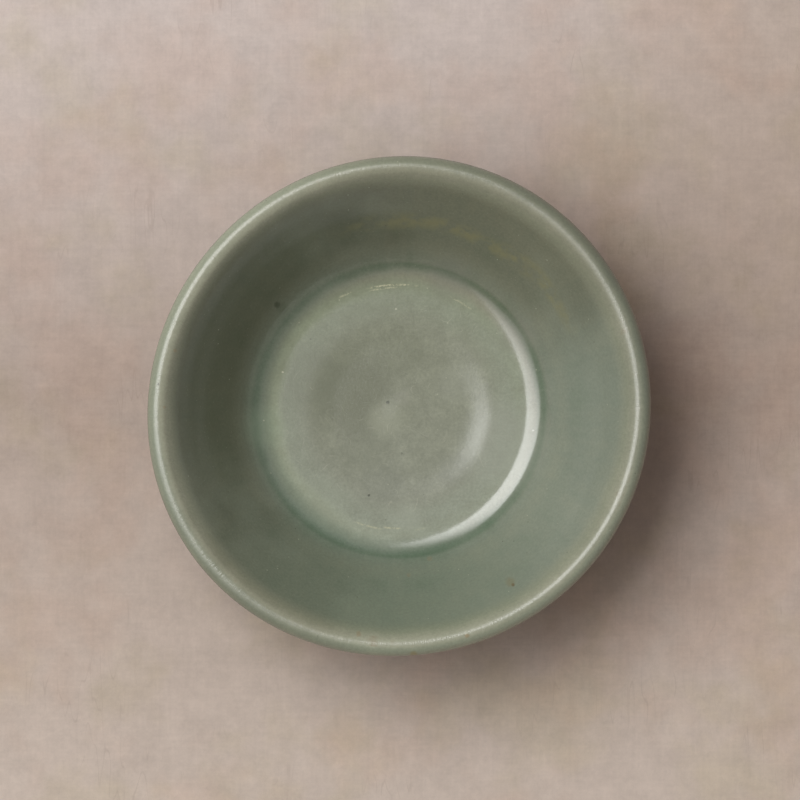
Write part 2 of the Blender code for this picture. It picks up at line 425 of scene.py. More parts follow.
def lip_thinning(radius):
    """How far the glaze has drawn back from the lip, from 0 to 1: most from its inner shoulder,
    and half as far from its outer edge."""
    drawn_back = smooth_step(56.2 * MM, 60.1 * MM, radius)
    on_outer_edge = smooth_step(62.0 * MM, 63.6 * MM, radius)
    return drawn_back * (1 - 0.5 * on_outer_edge)


def inside_depth(radius):
    """The depth of the glaze on the inside, up to the crest of the lip: what is even all round,
    and what pooled."""
    in_pool = smooth_step(34.8 * MM, 37.6 * MM, radius)
    past_pool = smooth_step(38.2 * MM, 39.8 * MM, radius)
    pool = FLOOR_POOL_DEPTH * in_pool * (1 - past_pool)
    ridge = RIDGE_THINNING * bump_between(39.8 * MM, 46.2 * MM, radius)
    wall = smooth_step(34 * MM, 39 * MM, radius)
    run = WALL_RUN_DEPTH * (1.0 - smooth_step(42 * MM, 58 * MM, radius))
    even = FLOOR_DEPTH * (1 - wall) + (WALL_DEPTH + run) * wall - ridge
    return even - LIP_THINNING * lip_thinning(radius), pool


def outside_depth(radius, height):
    """The same for a point of the outside, from the crest of the lip to the foot."""
    run = OUTSIDE_RUN_DEPTH * (1.0 - smooth_step(7 * MM, 32 * MM, height))
    pool = FOOT_POOL_DEPTH * bump_between(2.6 * MM, 8.5 * MM, height)
    near_lip = smooth_step(38 * MM, 40 * MM, height)
    depth = OUTSIDE_DEPTH + run + pool - OUTSIDE_LIP_THINNING * lip_thinning(radius) * near_lip
    edge = 1.0 - smooth_step(BARE_FOOT_HEIGHT - 0.1 * MM, BARE_FOOT_HEIGHT + 0.5 * MM, height)
    return depth * (1 - edge) + GLAZE_LINE_DEPTH * edge, 0.0


# Nodes

MIX_SHARE, MIX_FIRST, MIX_SECOND, MIX_COLOUR = 0, 6, 7, 2
SMOOTH = {"interpolation_type": "SMOOTHSTEP"}


def linear(hex_colour):
    """An sRGB hex colour as linear RGBA."""
    parts = [int(hex_colour[i:i + 2], 16) / 255 for i in (1, 3, 5)]
    return (*[p / 12.92 if p <= 0.04045 else ((p + 0.055) / 1.055) ** 2.4 for p in parts], 1.0)


def add(tree, kind, inputs=(), stops=None, **settings):
    """Adds one node with its settings, its inputs (in the order of its sockets, or by their
    numbers or names, and each a value or another node's output) and, on a colour ramp, its
    stops. Gives back its outputs."""
    node = tree.nodes.new("ShaderNode" + kind)
    for name, value in settings.items():
        setattr(node, name, value)
    by_socket = inputs if isinstance(inputs, dict) else dict(enumerate(inputs))
    for socket, given in by_socket.items():
        if isinstance(given, bpy.types.NodeSocket):
            tree.links.new(given, node.inputs[socket])
        else:
            node.inputs[socket].default_value = given
    if stops:
        elements = node.color_ramp.elements
        while len(elements) < len(stops):
            elements.new(1.0)
        for element, (position, hex_colour) in zip(elements, stops):
            element.position = position
            element.color = linear(hex_colour)
    return node.outputs


def new_material(name):
    """An empty material, its node tree and its shader, already linked to the output."""
    material = bpy.data.materials.new(name)
    material.use_nodes = True
    tree = material.node_tree
    shader = tree.nodes["Principled BSDF"]
    return material, tree, shader


def finish(tree, shader, colour, relief, height, strength=1.0):
    """Gives the shader its colour and its relief, which is this high."""
    tree.links.new(colour, shader.inputs["Base Color"])
    bump = add(tree, "Bump", {"Strength": strength, "Distance": height, "Height": relief})
    tree.links.new(bump["Normal"], shader.inputs["Normal"])


def in_layers(tree, colour, layers, blend="MIX"):
    """A colour under layers, the lowest first, each with its share and its tint: over it like
    paint, or with MULTIPLY like a stain."""
    for share, tint in layers:
        tint = linear(tint) if isinstance(tint, str) else tint
        colour = add(
            tree, "Mix", {MIX_SHARE: share, MIX_FIRST: colour, MIX_SECOND: tint},
            data_type="RGBA", blend_type=blend,
        )[MIX_COLOUR]
    return colour


def place_in_millimetres(tree):
    """Where a point is, in millimetres, and its x, y and z."""
    place = add(tree, "TexCoord")["Object"]
    millimetres = add(tree, "VectorMath", {0: place, "Scale": 1 / MM}, operation="SCALE")["Vector"]
    return millimetres, add(tree, "SeparateXYZ", [millimetres])


def seen_from_above(tree, split):
    """A point's place without its height, and its distance from the dish's axis."""
    level = add(tree, "CombineXYZ", [split[0], split[1]])[0]
    return level, add(tree, "VectorMath", [level], operation="LENGTH")["Value"]


def towards_side(tree, angle, side, times=1):
    """1 towards a side of the dish and -1 away from it. With times=2, 1 on two opposite sides."""
    turned_by = add(tree, "Math", [angle, times, -times * side], operation="MULTIPLY_ADD")[0]
    return add(tree, "Math", [turned_by], operation="COSINE")[0]


def away_from(tree, value, middle):
    """How far a value is from a middle, on either side of it."""
    past = add(tree, "Math", [value, -middle], operation="ADD")[0]
    return add(tree, "Math", [past], operation="ABSOLUTE")[0]


def where_all(tree, share, *others):
    """How much shows where several things limit it: their shares multiplied."""
    for other in others:
        share = add(tree, "Math", [share, other], operation="MULTIPLY")[0]
    return share


def grooves(tree, place, pitch):
    """Grooves this many millimetres apart, as a wave from -1 to 1."""
    turns = add(tree, "Math", [place, math.tau / pitch], operation="MULTIPLY")[0]
    return add(tree, "Math", [turns], operation="SINE")[0]


def shaded(tree, colour, *amounts):
    """A colour made lighter or darker: all of it by one amount, or its red, green and blue each
    by its own."""
    if len(amounts) == 1:
        amounts *= 3
    tint = add(tree, "CombineXYZ", amounts)[0]
    return add(tree, "VectorMath", [colour, tint], operation="MULTIPLY")["Vector"]


# Marks on the inside of this dish, a painted sheen and a painted glint among them, each with its place
# seen from above and its reach in millimetres, its colour and how strongly it shows
MARKS = [
    (-11.5, 4.5, 15.0, "#6B6F5A", 0.63),
    (0.5, 15.0, 9.0, "#6F745D", 0.32),
    (-9.0, -10.0, 9.0, "#6F7460", 0.32),
    (-23.0, 8.0, 13.0, "#757A67", 0.45),
    # Painted sheen: the softbox's soft glow on the satin floor
    (27.0, -9.0, 15.0, "#A2A799", 0.45),
    (-19.0, -24.0, 8.0, "#9AA18D", 0.25),
    (-4.0, -19.5, 8.0, "#72776A", 0.25),
    (14.0, -15.0, 6.5, "#72776A", 0.20),
    (2.0, -28.5, 5.5, "#A6AC9B", 0.32),
    (31.0, 20.0, 8.0, "#85867B", 0.22),
    (13.0, 35.0, 8.0, "#85867B", 0.22),
    (15.0, 7.0, 7.0, "#A3A798", 0.28),
    (-36.0, -4.5, 7.5, "#93A58C", 0.22),
    (-3.4, -2.2, 6.8, "#A0A48F", 0.42),
    (0.9, 3.4, 3.0, "#9C9E8E", 0.30),
    (29.58, -46.09, 0.66, "#5E4A2C", 0.85),
    (28.9, -45.4, 1.7, "#7D7554", 0.45),
    (-32.12, 27.65, 1.05, "#333829", 0.62),
    (-31.0, 27.0, 2.2, "#55604C", 0.30),
    (-8.07, -22.50, 0.50, "#474C3E", 0.85),
    (-3.03, 2.21, 0.62, "#4E5346", 0.80),
    (-23.51, 18.97, 0.36, "#565B4C", 0.75),
    (0.69, -11.35, 0.34, "#5E6354", 0.70),
    (-62.28, 5.70, 0.45, "#4A4A38", 0.80),
    (-57.97, 14.33, 0.6, "#9A7C4E", 0.32),
    (-60.74, -0.25, 0.5, "#9A7C4E", 0.25),
    (-10.45, -58.75, 0.9, "#96794F", 0.32),
    (3.78, -64.17, 1.3, "#8F8350", 0.60),
    (17.48, -59.25, 0.8, "#98805A", 0.55),
    (8.09, -39.23, 1.0, "#8C8064", 0.35),
    (2.53, -43.47, 0.8, "#8C8064", 0.35),
    # Painted glint: the next pale speck, on the worn ring
    (-30.94, 10.19, 0.32, "#D6D4BC", 0.60),
    (-35.95, -2.60, 0.32, "#C9CAB2", 0.50),
    (-0.91, 26.96, 0.36, "#CCCCB6", 0.55),
    (35.47, -5.26, 0.30, "#E0DFD2", 0.35),
]

# Tints by side of the inside of the wall: its angle in degrees, the cosine away from it at which it
# starts to show, how much of it shows at the foot of the wall and on the lip, and its tint. The darker
# one at 158 degrees is painted shade, the browner one at 67 degrees is partly painted shade and warm
# bounce light, and the other three make the glaze a little bluer and greyer
WALL_TINTS_AND_SHADE_BY_SIDE = [
    # Partly the glaze's own brown, partly painted shade with warm bounce light on this side of the wall
    (67, 0.49, 0.5, 0.35, "#D7D0C7"),
    # Painted shade: darker where the wall faces away from the softbox
    (158, 0.19, 0.35, 0.0, "#B0AF9F"),
    (263, 0.42, 0.8, 0.2, "#E3EAE5"),
    (234, 0.85, 0.0, 1.0, "#F2F0EE"),
    (3, 0.84, 1.0, 0.6, "#F6F7F8"),
]
# The radii between which the wall's foot and the lip's inner shoulder take their own share
WALL_FOOT_MM = (38.5, 46.0)
LIP_SHOULDER_MM = (56.8, 60.1)

# Rub marks with painted glints on the floor: the ring that a smaller foot left, in broken pale dashes
# that stand for the light its scratches catch. Each has its radius in millimetres, the angle of its
# middle, half its spread in degrees, and its strength
RUBS_AND_GLINTS = [
    (33.4, 93.0, 13.0, 0.90),
    (32.7, 97.0, 8.0, 0.60),
    (33.9, 115.0, 3.6, 0.50),
    (33.0, 60.0, 6.5, 0.50),
    (31.7, -105.0, 8.0, 0.60),
    (31.2, -93.5, 5.0, 0.80),
    (31.9, -80.0, 3.0, 0.30),
]

# Bubbles that reached the surface, pale, and specks of iron, dark brown: how far apart they lie
# in millimetres, their reach as a share of that, how few of them show, tint and strength
DOTS = [
    (2.6, 0.07, 0.78, "#C3C5AE", 0.45),
    (3.4, 0.06, 0.75, "#4B4A3A", 0.50),
    (1.1, 0.14, 0.70, "#A5A996", 0.22),
]

# The worn floor: the radii at which its colour and its dull skin end and its border begins, how far the
# clouds shift these, the side towards which painted light makes it lighter, and the side towards which
# it is more olive, with painted sheen making it bluer away from it, each with what a millimetre that
# way changes
WORN_COLOUR_ENDS_MM = (34.4, 39.6)
DULL_SKIN_ENDS_MM = (30.5, 36.0)
FLOOR_BORDER_MM = (24.5, 31.0)
EDGES_WANDER_MM = 3.0
WORN_COLOUR_SHARE = 0.9
LIT_FLOOR_SIDE = math.radians(-42)
LIT_FLOOR_PER_MM = 0.0060
OLIVE_SIDE = math.radians(118)
GREENER_PER_MM = 0.0005
LESS_BLUE_PER_MM = 0.0016

# The paler ring where the floor begins to rise: its radius, where it fades on either side, and how much
# brighter it is away from the side with painted light and on that side
RISE_RING_MM = 34.6
RISE_RING_FADES_MM = (0.4, 3.3)
RISE_RING_BRIGHTER = (0.10, 0.34)
RING_LIT_SIDE = math.radians(190)

# The pool at the floor's edge, greener on one side, between these radii
GREENER_POOL_SIDE = math.radians(212)
LESS_RED_IN_POOL = 0.065
POOL_WINDOW_MM = ((32.8, 36.0), (42.0, 38.0))

# The lip: the heights between which its band begins, how much darker it is all round, the painted shade
# towards one side and at both ends of a line across, and the painted shade and light on its outer edge
LIP_BAND_FROM_MM = (37.0, 39.5)
LIP_SHADE = -0.060
DARKER_LIP_SIDE = math.radians(40)
DARKER_SIDE_SHADE = -0.055
LIP_DARKER_ENDS = math.radians(10)
DARKER_ENDS_SHADE = -0.04
LIP_EDGE_MM = (61.6, 63.0)
EDGE_SHADE = -0.02
EDGE_PAINTED_SIDES = -0.14
EDGE_LESS_RED = -0.035

# The thrower's ring on the wall, where the glaze is thin: its height and where it fades above and
# below, the angle of its middle and how far round it fades, in radians, and how much shows
BROWN_RING_HEIGHT_MM = 29.0
BROWN_RING_FADES_MM = (0.2, 3.0)
BROWN_RING_SIDE = 1.15
BROWN_RING_SIDE_FADES = (0.50, 0.85)
BROWN_RING_SHARE = 0.5

# What the patterns measure. The runs and the ticks of the lip lie along a circle of this radius
PATTERN_CIRCLE_MM = 60.0
RUN_LENGTH_SHARE = 0.18
TICK_LENGTH_SHARE = 0.25
DEEPEST_GLAZE_MM = 1.6
FINGER_LINE_PITCH_MM = 1.2
FINGER_LINE_WINDOW_MM = ((37.5, 39.5), (45.0, 41.0))
TURNING_LINE_PITCH_MM = 2.1
PEEL_HEIGHT = 0.012 * MM
RUB_GLINT_FADES_MM = (0.08, 0.34)

# Polish: the roughness of the walls and of the worn floor, and what handling and grain add
WALL_ROUGHNESS = 0.14
FLOOR_ROUGHNESS = 0.25
HANDLED_ROUGHER = 0.12
GRAIN_ROUGHER = 0.05
GLAZE_IOR = 1.665


def celadon_glaze():
    """Celadon: a limy wood-ash glaze with a little iron, dipped, and fired with little air.

    To the eye it is a soft grey green, clouded like jade, that deepens where it pools, and lets
    the clay show through, buff and a little brown, where it thins over the lip. The walls are
    glossy with a fine orange peel. The floor is worn to a satin, olive grey and grainy, by years
    of brushes and ink sticks. Its index is set a little over a real glaze's 1.55, because the
    bubbles under a real one add light to its reflection.
    """
    material, tree, shader = new_material("celadon_glaze_dipped")
    millimetres, split = place_in_millimetres(tree)
    level, radius = seen_from_above(tree, split)
    outward = add(tree, "VectorMath", [level], operation="NORMALIZE")["Vector"]
    angle = add(tree, "Math", [split[1], split[0]], operation="ARCTAN2")[0]
    facing = add(tree, "NewGeometry")["Normal"]
    upward = add(tree, "SeparateXYZ", [facing])[2]
    inside = add(tree, "MapRange", [upward, 0.02, 0.2], **SMOOTH)[0]
    depth = add(tree, "Attribute", attribute_name="glaze_depth")["Fac"]

    # Patterns: clouds 14 mm across, mottles of 4 mm, a grain of 0.7 mm (the real one is half
    # that, too fine to show), runs that follow the wall down, ticks across the lip, and an
    # orange peel of about 1 mm
    around = add(
        tree, "VectorMath", {0: outward, "Scale": PATTERN_CIRCLE_MM}, operation="SCALE"
    )["Vector"]
    down = add(tree, "Math", [split[2], RUN_LENGTH_SHARE], operation="MULTIPLY")[0]
    run_length = add(tree, "CombineXYZ", {2: down})[0]
    tick_length = add(
        tree, "VectorMath", {0: millimetres, "Scale": TICK_LENGTH_SHARE}, operation="SCALE"
    )["Vector"]
    lengthwise = add(tree, "VectorMath", [around, run_length], operation="ADD")["Vector"]
    crosswise = add(tree, "VectorMath", [around, tick_length], operation="ADD")["Vector"]
    clouds, mottles, grain, runs, ticks, peel = [
        add(
            tree, "TexNoise",
            {"Vector": vector, "Scale": 1 / width, "Detail": detail, "Roughness": roughness},
        )["Fac"]
        for vector, width, detail, roughness in (
            (millimetres, 14, 2.0, 0.5),
            (millimetres, 4, 3.0, 0.6),
            (millimetres, 0.7, 2.0, 0.7),
            (lengthwise, 3.2, 2.0, 0.55),
            (crosswise, 0.4, 2.0, 0.6),
            (millimetres, 1.3, 2.0, 0.5),
        )
    ]

    # Colour by depth: brown where the clay shows through, buff, then greener as it deepens
    depth_now = depth
    for pattern, reach in ((clouds, 0.22), (mottles, 0.14), (runs, 0.16)):
        centred = add(tree, "Math", [pattern, -0.5], operation="ADD")[0]
        depth_now = add(tree, "Math", [centred, reach, depth_now], operation="MULTIPLY_ADD")[0]
    colour = add(
        tree, "ValToRGB",
        [add(tree, "Math", [depth_now, DEEPEST_GLAZE_MM], operation="DIVIDE")[0]],
        stops=[
            (0.06, "#8A6A4A"),
            (0.15, "#A4A691"),
            (0.25, "#979B86"),
            (0.38, "#919684"),
            (0.50, "#899181"),
            (0.75, "#60765F"),
        ],
    )["Color"]

    # Tints by side of the wall, painted shade among them
    uneven = add(tree, "Math", [clouds, 0.3, -0.15], operation="MULTIPLY_ADD")[0]
    side_tints_and_shade = []
    for side, starts, foot_share, lip_share, tint in WALL_TINTS_AND_SHADE_BY_SIDE:
        near = towards_side(tree, angle, math.radians(side))
        near = add(tree, "Math", [near, uneven], operation="ADD")[0]
        share = add(tree, "MapRange", [near, starts, 1.0], **SMOOTH)[0]
        on_foot = add(tree, "MapRange", [radius, *WALL_FOOT_MM, foot_share, 1.0], **SMOOTH)[0]
        on_lip = add(tree, "MapRange", [radius, *LIP_SHOULDER_MM, 1.0, lip_share], **SMOOTH)[0]
        side_tints_and_shade.append((where_all(tree, share, on_foot, on_lip, inside), tint))
    colour = in_layers(tree, colour, side_tints_and_shade, "MULTIPLY")

    # The lip is a little darker all round, with painted shade towards one side and at two ends, and
    # painted light between the two ends
    lip_band = add(tree, "MapRange", [split[2], *LIP_BAND_FROM_MM])[0]
    lip_shade = LIP_SHADE
    for side, times, shade in (
        (DARKER_LIP_SIDE, 1, DARKER_SIDE_SHADE), (LIP_DARKER_ENDS, 2, DARKER_ENDS_SHADE)
    ):
        near = towards_side(tree, angle, side, times)
        lip_shade = add(tree, "Math", [near, shade, lip_shade], operation="MULTIPLY_ADD")[0]
    lip_shade = add(tree, "Math", [lip_shade, lip_band, 1.0], operation="MULTIPLY_ADD")[0]
    colour = shaded(tree, colour, lip_shade)
    # Its outer edge: painted shade on two opposite sides, painted light between them, and a little less
    # red
    edge = add(tree, "MapRange", [radius, *LIP_EDGE_MM], **SMOOTH)[0]
    edge = where_all(tree, edge, lip_band)
    edge_light_and_shade = towards_side(tree, angle, DARKER_LIP_SIDE, 2)
    for reach, start in ((EDGE_PAINTED_SIDES, EDGE_SHADE), (edge, 1.0)):
        edge_light_and_shade = add(tree, "Math", [edge_light_and_shade, reach, start], operation="MULTIPLY_ADD")[0]
    edge_red = add(tree, "Math", [edge, EDGE_LESS_RED, edge_light_and_shade], operation="MULTIPLY_ADD")[0]
    colour = shaded(tree, colour, edge_red, edge_light_and_shade, edge_light_and_shade)

    # The worn floor: its colour reaches further than its dull skin, and both end unevenly
    wandering = add(tree, "Math", [clouds, EDGES_WANDER_MM, radius], operation="MULTIPLY_ADD")[0]
    worn, dulled = [
        where_all(tree, add(tree, "MapRange", [wandering, *ends, 1.0, 0.0], **SMOOTH)[0], inside)
        for ends in (WORN_COLOUR_ENDS_MM, DULL_SKIN_ENDS_MM)
    ]
    middle_colour, border_colour = [
        add(tree, "ValToRGB", [mottles], stops=stops)["Color"]
        for stops in (
            [(0.30, "#838775"), (0.50, "#898D7B"), (0.72, "#919582")],
            [(0.30, "#868C79"), (0.55, "#8C9380"), (0.75, "#929986")],
        )
    ]
    border = add(tree, "MapRange", [wandering, *FLOOR_BORDER_MM], **SMOOTH)[0]
    worn_colour = in_layers(tree, middle_colour, [(border, border_colour)])
    # Painted light makes one side of the floor lighter. Towards another it is more olive, and away from
    # it bluer with painted sheen
    lit_floor_way, olive_way = [
        add(
            tree, "VectorMath", [level, (math.cos(side), math.sin(side), 0.0)],
            operation="DOT_PRODUCT",
        )["Value"]
        for side in (LIT_FLOOR_SIDE, OLIVE_SIDE)
    ]
    brighter, greener, bluer = [
        add(tree, "Math", [way, per_mm, start], operation="MULTIPLY_ADD")[0]
        for way, per_mm, start in (
            (lit_floor_way, LIT_FLOOR_PER_MM, 1.0),
            (olive_way, GREENER_PER_MM, 1.0),
            (olive_way, -LESS_BLUE_PER_MM, 0.99),
        )
    ]
    worn_colour = shaded(tree, worn_colour, brighter)
    worn_colour = shaded(tree, worn_colour, 1.0, greener, bluer)
    # A paler ring where the floor begins to rise, with painted light on the side where it turns away
    # from the softbox
    off_ring = away_from(tree, wandering, RISE_RING_MM)
    rise_ring = add(tree, "MapRange", [off_ring, *RISE_RING_FADES_MM, 1.0, 0.0], **SMOOTH)[0]
    ring_light = towards_side(tree, angle, RING_LIT_SIDE)
    ring_light = add(tree, "MapRange", [ring_light, -0.2, 1.0, *RISE_RING_BRIGHTER])[0]
    rise_ring = add(tree, "Math", [rise_ring, ring_light, 1.0], operation="MULTIPLY_ADD")[0]
    worn_colour = shaded(tree, worn_colour, rise_ring)
    worn_share = where_all(tree, worn, WORN_COLOUR_SHARE)
    colour = in_layers(tree, colour, [(worn_share, worn_colour)])

    # The pool at the floor's edge is greener on one side and greyer on the other
    in_pool = [add(tree, "MapRange", [radius, *ends], **SMOOTH)[0] for ends in POOL_WINDOW_MM]
    green_side = towards_side(tree, angle, GREENER_POOL_SIDE)
    green_side = where_all(tree, green_side, *in_pool, inside)
    less_red = add(tree, "Math", [green_side, -LESS_RED_IN_POOL, 1.0], operation="MULTIPLY_ADD")[0]
    colour = shaded(tree, colour, less_red, 1.0, 1.0)

    # Grain: stronger on the worn floor
    grain_reach = add(tree, "Math", [dulled, 0.08, 0.38], operation="MULTIPLY_ADD")[0]
    grain_centred = add(tree, "Math", [grain, -0.5], operation="ADD")[0]
    brightness = add(tree, "Math", [grain_centred, grain_reach, 1.0], operation="MULTIPLY_ADD")[0]
    colour = shaded(tree, colour, brightness)

    # What lies over that, from the lowest layer to the highest, each with its share and tint.
    # First bubbles and specks of iron
    layers = []
    for size, reach, chosen, tint, strength in DOTS:
        cells = add(tree, "TexVoronoi", {"Vector": millimetres, "Scale": 1 / size, "Randomness": 1.0})
        dot = add(
            tree, "MapRange", [cells["Distance"], 0.5 * reach, 1.3 * reach, strength, 0.0], **SMOOTH
        )[0]
        lot = add(tree, "SeparateXYZ", [cells["Color"]])[0]
        kept = add(tree, "Math", [lot, chosen], operation="GREATER_THAN")[0]
        layers.append((where_all(tree, dot, kept), tint))

    # A thrower's ring half way up the wall, where the glaze is thin and the iron shows yellow
    # brown, in patches over a quarter of the way round
    ring_place = add(tree, "Math", [clouds, 5.0, split[2]], operation="MULTIPLY_ADD")[0]
    off_ring = away_from(tree, ring_place, BROWN_RING_HEIGHT_MM)
    off_middle = away_from(tree, angle, BROWN_RING_SIDE)
    ring, ring_side, patches = [
        add(tree, "MapRange", [value, *fades, 1.0, 0.0], **SMOOTH)[0]
        for value, fades in (
            (off_ring, BROWN_RING_FADES_MM),
            (off_middle, BROWN_RING_SIDE_FADES),
            (mottles, (0.62, 0.38)),
        )
    ]
    ring = where_all(tree, ring, ring_side, patches, inside, BROWN_RING_SHARE)
    layers.append((ring, "#8C8760"))

    # Marks with a place of their own, with uneven outlines, a painted sheen and a painted glint among
    # them
    strayed = add(tree, "TexNoise", {"Vector": level, "Scale": 1 / 0.8, "Detail": 1.0})["Color"]
    strayed = add(tree, "VectorMath", [strayed, (0.5, 0.5, 0.5)], operation="SUBTRACT")["Vector"]
    strayed = add(
        tree, "VectorMath", [strayed, (0.6, 0.6, 0.0), level], operation="MULTIPLY_ADD"
    )["Vector"]
    for x, y, reach, tint, strength in MARKS:
        away = add(tree, "VectorMath", [strayed, (x, y, 0.0)], operation="DISTANCE")["Value"]
        mark = add(tree, "MapRange", [away, 0.35 * reach, reach, strength, 0.0], **SMOOTH)[0]
        layers.append((where_all(tree, mark, inside), tint))

    # Rubs with painted glints: thin pale arcs, broken by the grain
    broken = add(tree, "MapRange", [grain, 0.38, 0.56], **SMOOTH)[0]
    rubs_and_glints = 0.0
    for reach, middle, half_spread, strength in RUBS_AND_GLINTS:
        off_arc = away_from(tree, radius, reach)
        off_middle = away_from(tree, angle, math.radians(middle))
        end = math.radians(half_spread)
        across = add(tree, "MapRange", [off_arc, *RUB_GLINT_FADES_MM, strength, 0.0], **SMOOTH)[0]
        sideways = add(tree, "MapRange", [off_middle, 0.5 * end, end, 1.0, 0.0], **SMOOTH)[0]
        one = where_all(tree, across, sideways)
        rubs_and_glints = add(tree, "Math", [rubs_and_glints, one], operation="MAXIMUM")[0]
    layers.append((where_all(tree, rubs_and_glints, broken, inside), "#BDBC9E"))

    # Hair scratches on the floor: short and bent, in two directions. Drawn 0.3 mm wide, ten times
    # the real width, so that they show
    bent = add(tree, "TexNoise", {"Vector": level, "Scale": 1 / 9, "Detail": 1.0})["Color"]
    bent = add(tree, "VectorMath", [bent, (26.0, 26.0, 0.0), level], operation="MULTIPLY_ADD")["Vector"]
    scratches = 0.0
    for turn in (0.6, 2.1):
        drawn = add(
            tree, "Mapping", {"Vector": bent, "Rotation": (0.0, 0.0, turn), "Scale": (0.22, 2.4, 1.0)}
        )[0]
        hairs = add(
            tree, "TexNoise", {"Vector": drawn, "Scale": 1.0, "Detail": 1.0, "Roughness": 0.6}
        )["Fac"]
        hairs = add(tree, "MapRange", [hairs, 0.66, 0.76], **SMOOTH)[0]
        scratches = add(tree, "Math", [scratches, hairs], operation="MAXIMUM")[0]
    layers.append((where_all(tree, scratches, dulled, 0.28), "#B2B3A0"))
    colour = in_layers(tree, colour, layers)

    # Polish: glossy walls, a satin floor, a lip dulled by handling
    polish = [dulled, 0.0, 1.0, WALL_ROUGHNESS, FLOOR_ROUGHNESS]
    polish = add(tree, "MapRange", polish, **SMOOTH)[0]
    for pattern, reach in ((lip_band, HANDLED_ROUGHER), (grain_centred, GRAIN_ROUGHER)):
        polish = add(tree, "Math", [pattern, reach, polish], operation="MULTIPLY_ADD")[0]
    tree.links.new(polish, shader.inputs["Roughness"])

    # Relief: the orange peel, ticks across the lip, the skin of the worn floor, the fine lines of
    # the thrower's finger just above it, and the turning tool's on the outside
    by_finger = [
        add(tree, "MapRange", [radius, *ends], **SMOOTH)[0] for ends in FINGER_LINE_WINDOW_MM
    ]
    turning_place = add(tree, "Math", [clouds, 2.5, split[2]], operation="MULTIPLY_ADD")[0]
    outside = add(tree, "Math", [1.0, inside], operation="SUBTRACT")[0]
    finger_lines = grooves(tree, wandering, FINGER_LINE_PITCH_MM)
    tool_lines = grooves(tree, turning_place, TURNING_LINE_PITCH_MM)
    relief = peel
    for pattern, reach in (
        (where_all(tree, ticks, lip_band), 6.5),
        (where_all(tree, grain, dulled), 1.8),
        (where_all(tree, finger_lines, *by_finger, inside), 0.35),
        (where_all(tree, tool_lines, outside), 0.8),
    ):
        relief = add(tree, "Math", [pattern, reach, relief], operation="MULTIPLY_ADD")[0]
    finish(tree, shader, colour, relief, PEEL_HEIGHT)
    shader.inputs["IOR"].default_value = GLAZE_IOR
    return material


CLAY_IOR = 1.5
FOOT_GROOVE_PITCH_MM = 0.55
FOOT_GRIT_HEIGHT = 0.09 * MM
STONEWARE_GRIT_HEIGHT = 0.05 * MM


def burnt_foot_clay():
    """Iron-bearing stoneware, turned on the wheel and left bare: the kiln burnt its skin orange
    brown. It is matt, with the fine grooves of the turning tool and a grit of sand, toasted
    darker beside the glaze and rubbed pale where it stands."""
    material, tree, shader = new_material("burnt_foot_clay_turned")
    millimetres, split = place_in_millimetres(tree)
    # Patches 7 mm across and a grit of 0.5 mm
    patches, grit = [
        add(
            tree, "TexNoise",
            {"Vector": millimetres, "Scale": 1 / width, "Detail": detail, "Roughness": roughness},
        )["Fac"]
        for width, detail, roughness in ((7, 4.0, 0.6), (0.5, 3.0, 0.65))
    ]
    burn = add(tree, "Math", [grit, 0.35, patches], operation="MULTIPLY_ADD")[0]
    colour = add(
        tree, "ValToRGB", [burn],
        stops=[(0.46, "#5E3A25"), (0.60, "#86553A"), (0.72, "#A06C4A"), (0.88, "#B98A66")],
    )["Color"]
    # Toasted beside the glaze, rubbed where it stands, by height in millimetres
    layers = []
    for pattern, stray, heights, shares, tint in (
        (patches, 1.2, (1.6, 2.4), (0.0, 0.7), "#633A22"),
        (grit, 0.5, (0.15, 0.55), (0.75, 0.0), "#BBA28A"),
    ):
        height = add(tree, "Math", [pattern, stray, split[2]], operation="MULTIPLY_ADD")[0]
        share = add(tree, "MapRange", [height, *heights, *shares], **SMOOTH)[0]
        layers.append((share, tint))
    colour = in_layers(tree, colour, layers)
    radius = seen_from_above(tree, split)[1]
    spiral = add(tree, "Math", [radius, split[2]], operation="ADD")[0]
    tool_lines = grooves(tree, spiral, FOOT_GROOVE_PITCH_MM)
    relief = add(tree, "Math", [tool_lines, 0.18, grit], operation="MULTIPLY_ADD")[0]
    finish(tree, shader, colour, relief, FOOT_GRIT_HEIGHT)
    roughness = add(tree, "MapRange", [grit, 0.3, 0.7, 0.92, 0.72])[0]
    tree.links.new(roughness, shader.inputs["Roughness"])
    shader.inputs["IOR"].default_value = CLAY_IOR
    return material


def grey_stoneware():
    """Thrown stoneware, fired dense and grey under the glaze: matt, fine grained, with the
    dark specks of its iron."""
    material, tree, shader = new_material("grey_stoneware_thrown")
    place = add(tree, "TexCoord")["Object"]
    # A grit of 0.6 mm
    grit = add(
        tree, "TexNoise",
        {"Vector": place, "Scale": 1 / (0.6 * MM), "Detail": 3.0, "Roughness": 0.6},
    )["Fac"]
    colour = add(
        tree, "ValToRGB", [grit],
        stops=[(0.28, "#6E675D"), (0.42, "#A29B8F"), (0.70, "#B9B2A5")],
    )["Color"]
    finish(tree, shader, colour, grit, STONEWARE_GRIT_HEIGHT)
    shader.inputs["Roughness"].default_value = 0.85
    shader.inputs["IOR"].default_value = CLAY_IOR
    return material


# The painted canvas: how far to each side its tones reach, the side given painted light and by how
# much, and the browner corner
CANVAS_REACH_MM = 230.0
LIT_SIDE_FROM_MM = (-20.0, 110.0)
LIT_SIDE_BRIGHTNESS = 1.08
BROWNER_CORNER_MM = (125.0, 80.0, 0.0)
BROWNER_REACH_MM = (20.0, 120.0)
CANVAS_THREAD_HEIGHT = 0.10 * MM
CANVAS_IOR = 1.45


